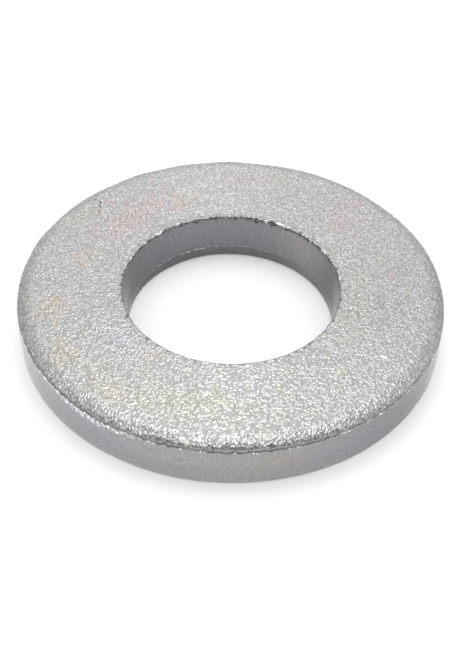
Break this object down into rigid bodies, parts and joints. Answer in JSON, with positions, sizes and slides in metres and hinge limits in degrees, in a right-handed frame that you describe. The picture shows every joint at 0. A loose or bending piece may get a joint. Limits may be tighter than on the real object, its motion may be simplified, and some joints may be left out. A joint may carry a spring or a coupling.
{
  "type": "flat washer",
  "caption": "Thick flat round washer, punched from hardened steel plate and zinc plated, that spreads a bolt's clamping load.",
  "frame": {"origin": "on the hole's axis, in the plane of the lower bearing face", "axes": "+Z along the hole's axis from the lower bearing face to the upper bearing face, which has the drawn-in outer edge and the hole's wide mouth; the part is round, so +X is any radius"},
  "size_m": [0.0276, 0.0276, 0.0032],
  "materials": {
    "zinc_plated_steel": "tumbled steel with bright zinc plating and a clear passivate: fine pebbled grain on the faces, smoother in the hole and on the rim"
  },
  "bodies": {
    "root": {"washer": "zinc_plated_steel"}
  },
  "joints": []
}
